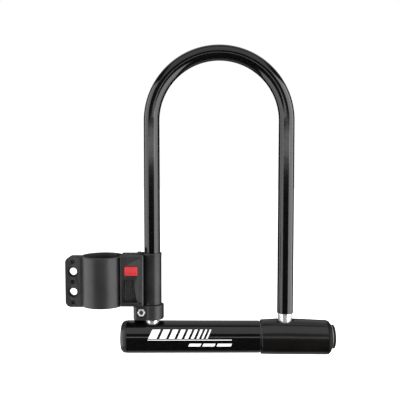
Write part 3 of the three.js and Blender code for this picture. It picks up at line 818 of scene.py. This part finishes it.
def dustCover():
    inner = crossbar["right"] + 0.2
    outer, dish, sunk, past = inner + 3.1, inner + 2.5, inner + 2.1, inner + 4.0
    cap = turnedShape([(0, inner), (10.3, inner, 0.25), (10.3, outer, 0.8), (8.2, outer, 0.15),
                       (7.9, dish, 0.15), (0, dish)], "x", crossbarAxis, 120)
    rivetWay = turnedShape([(0, inner - 1.0), (1.35, inner - 1.0), (1.35, sunk), (1.75, sunk),
                            (1.75, past), (0, past)], "x", rivetAxis, 32)
    shape = worked(cap, removed=[rivetWay])
    finishPiece("dustCover", shape, "key_cover", ["dust_cover"], "cuff_plastic", "cap_rubber")
    low, high = inner + 0.1, inner + 0.9
    ringed = turnedShape([(9.8, low), (10.55, low, 0.15), (10.5, high, 0.15), (9.8, high)],
                         "x", crossbarAxis, 120)
    finishPiece("dustCoverRing", ringed, "key_cover", [], "plated_steel", "dull_ring")
    tail, neck, head = inner - 2.8, inner + 2.4, inner + 3.0
    rivet = turnedShape([(0, tail), (1.1, tail), (1.1, neck), (1.5, neck), (1.5, head, 0.4), (0, head)],
                        "x", rivetAxis, 32)
    finishPiece("coverRivet", rivet, "crossbar", ["cover_rivet"], "plated_steel")


# A plain printed pattern: slanted bars over a thin line and three blocks, wrapped on the skin's front
stripes = {
    "bars": ((40.0, 7.0), (49.5, 5.6), (57.6, 4.6), (64.6, 3.8), (70.8, 3.1), (76.2, 2.5), (81.0, 2.0),
             (85.2, 1.6), (89.0, 1.3)),
    "barAngles": (9.0, 41.0), "barSlant": 3.4,
    "line": (39.5, 111.0, 3.0, 5.2),
    "blocks": ((74.0, 10.0), (86.0, 10.0), (98.0, 12.0)), "blockAngles": (-20.0, -9.0), "blockSlant": 1.2,
    "lift": 0.03, "thickness": 0.05,
}


def printedPatch(left, width, lowAngle, highAngle, slant, steps):
    shape = bmesh.new()
    ends = [shape.verts.new((x, -1.0, 0.0)) for x in (left, left + width)]
    shape.edges.new(ends)
    bmesh.ops.rotate(shape, verts=ends, matrix=Matrix.Rotation(radians(-lowAngle), 3, "X"))
    bmesh.ops.spin(shape, geom=ends + shape.edges[:], cent=(0, 0, 0), axis=(-1, 0, 0),
                   angle=radians(highAngle - lowAngle), steps=steps, use_merge=False)
    lowZ, highZ = sin(radians(lowAngle)), sin(radians(highAngle))
    fall = (crossbar["skinWide"] - crossbar["skinNarrow"]) / (crossbar["seam"] - crossbar["skinLeft"])
    for vert in shape.verts:
        vert.co.x += slant * (vert.co.z - lowZ) / (highZ - lowZ)
        radius = crossbar["skinWide"] - fall * (vert.co.x - crossbar["skinLeft"]) + stripes["lift"]
        vert.co = Vector((vert.co.x, vert.co.y * radius, crossbarZ + vert.co.z * radius))
    bmesh.ops.recalc_face_normals(shape, faces=shape.faces)
    bmesh.ops.solidify(shape, geom=shape.faces[:], thickness=stripes["thickness"])
    return shape


def printedStripes():
    low, high = stripes["barAngles"]
    slant = stripes["barSlant"]
    patches = [printedPatch(left, width, low, high, slant, 14) for left, width in stripes["bars"]]
    left, right, lineLow, lineHigh = stripes["line"]
    patches.append(printedPatch(left, right - left, lineLow, lineHigh, 0.0, 2))
    low, high = stripes["blockAngles"]
    slant = stripes["blockSlant"]
    patches += [printedPatch(left, width, low, high, slant, 6) for left, width in stripes["blocks"]]
    finishPiece("printedStripes", mergedShapes(patches), "crossbar", [], None, "print")


crossbarSkin()
endPlug()
keyEndCuff()
footBushing("bushingLeft", "bushing_left", "left", 13.75)
footBushing("bushingRight", "bushing_right", "right", 14.85)
dustCover()
printedStripes()
print("crossbar made")


# Working parts keep their own meshes and take their finish here

innerParts = {
    "release_catch": "dark_steel", "crossbar_tube": "dark_steel", "bolt_guide": "dark_steel",
    "deadbolt": "plated_steel", "cylinder_housing": "cylinder_brass", "housing_pin": "plated_steel",
    "drill_plate": "dark_steel", "plug_sleeve": "cylinder_brass", "plug_cam": "cylinder_brass",
    "detainer_disc_1": "plated_steel", "detainer_disc_2": "plated_steel", "detainer_disc_3": "plated_steel",
    "detainer_disc_4": "plated_steel", "detainer_disc_5": "plated_steel",
}
for node, slotName in innerParts.items():
    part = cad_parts[node]
    part.data.materials.clear()
    part.data.materials.append(finishes[slotName])
print("working parts finished")


# Floor, light and camera

studio = {"floorZ": -0.2, "floorHalf": 6.0, "floorTone": (0.9, 0.9, 0.9, 1.0), "floorGlow": 0.3, "sky": 1.0}


def studioFloor():
    shape = bmesh.new()
    bmesh.ops.create_grid(shape, x_segments=1, y_segments=1, size=studio["floorHalf"])
    bmesh.ops.translate(shape, vec=(0, 0, studio["floorZ"]), verts=shape.verts)
    mesh = bpy.data.meshes.new("studioFloor")
    shape.to_mesh(mesh)
    shape.free()
    paper = bpy.data.materials.new("paleFloor")
    paper.use_nodes = True
    shader = paper.node_tree.nodes["Principled BSDF"]
    shader.inputs["Base Color"].default_value = studio["floorTone"]
    shader.inputs["Roughness"].default_value = 0.9
    shader.inputs["Specular IOR Level"].default_value = 0.0
    shader.inputs["Emission Color"].default_value = (1.0, 1.0, 1.0, 1.0)
    shader.inputs["Emission Strength"].default_value = studio["floorGlow"]
    mesh.materials.append(paper)
    floor = bpy.data.objects.new("studioFloor", mesh)
    bpy.context.scene.collection.objects.link(floor)
    floor.visible_glossy = False


# Side and rise are the angles at which a box stands, seen from the aim; 0, 0 is level in front.
def softBox(name, side, rise, distance, width, height, radiance, aim=(0.09, 0.0, 0.04)):
    data = bpy.data.lights.new(name, "AREA")
    data.shape = "RECTANGLE"
    data.size = width
    data.size_y = height
    data.energy = radiance * pi * width * height
    light = bpy.data.objects.new(name, data)
    turn, lift = radians(side), radians(rise)
    away = Vector((sin(turn) * cos(lift), -cos(turn) * cos(lift), sin(lift)))
    light.location = Vector(aim) + away * distance
    light.rotation_mode = "QUATERNION"
    light.rotation_quaternion = away.to_track_quat("Z", "Y")
    light.visible_camera = False
    bpy.context.scene.collection.objects.link(light)


def paleSky():
    world = bpy.data.worlds.new("paleSky")
    world.use_nodes = True
    background = world.node_tree.nodes["Background"]
    background.inputs["Color"].default_value = (1.0, 1.0, 1.0, 1.0)
    background.inputs["Strength"].default_value = studio["sky"]
    bpy.context.scene.world = world
    world.cycles_visibility.glossy = False


def lockCamera():
    data = bpy.data.cameras.new("lockCamera")
    data.lens = 54.0
    data.sensor_width = 36.0
    camera = bpy.data.objects.new("lockCamera", data)
    camera.location = (0.084, -0.514, 0.1031)
    camera.rotation_euler = (radians(90.0 - 3.7), 0.0, 0.0)
    bpy.context.scene.collection.objects.link(camera)
    bpy.context.scene.camera = camera


studioFloor()
softBox("leftBox", -80.0, -4.0, 1.5, 2.0, 2.6, 2.6)
softBox("rightBox", 70.0, -4.0, 1.5, 2.2, 2.6, 4.0)
softBox("overheadBox", 0.0, 59.5, 1.2, 1.8, 1.25, 1.05)
softBox("backBox", 180.0, 49.0, 1.2, 1.8, 1.4, 0.6)
softBox("underBox", 180.0, -58.0, 1.2, 1.8, 0.9, 0.45)
softBox("tableEdge", 0.0, 10.7, 1.1, 2.4, 0.09, 3.0, (0.09, 0.0, -0.05))
paleSky()
lockCamera()
bpy.context.scene.view_settings.view_transform = "Standard"
print("studio set")
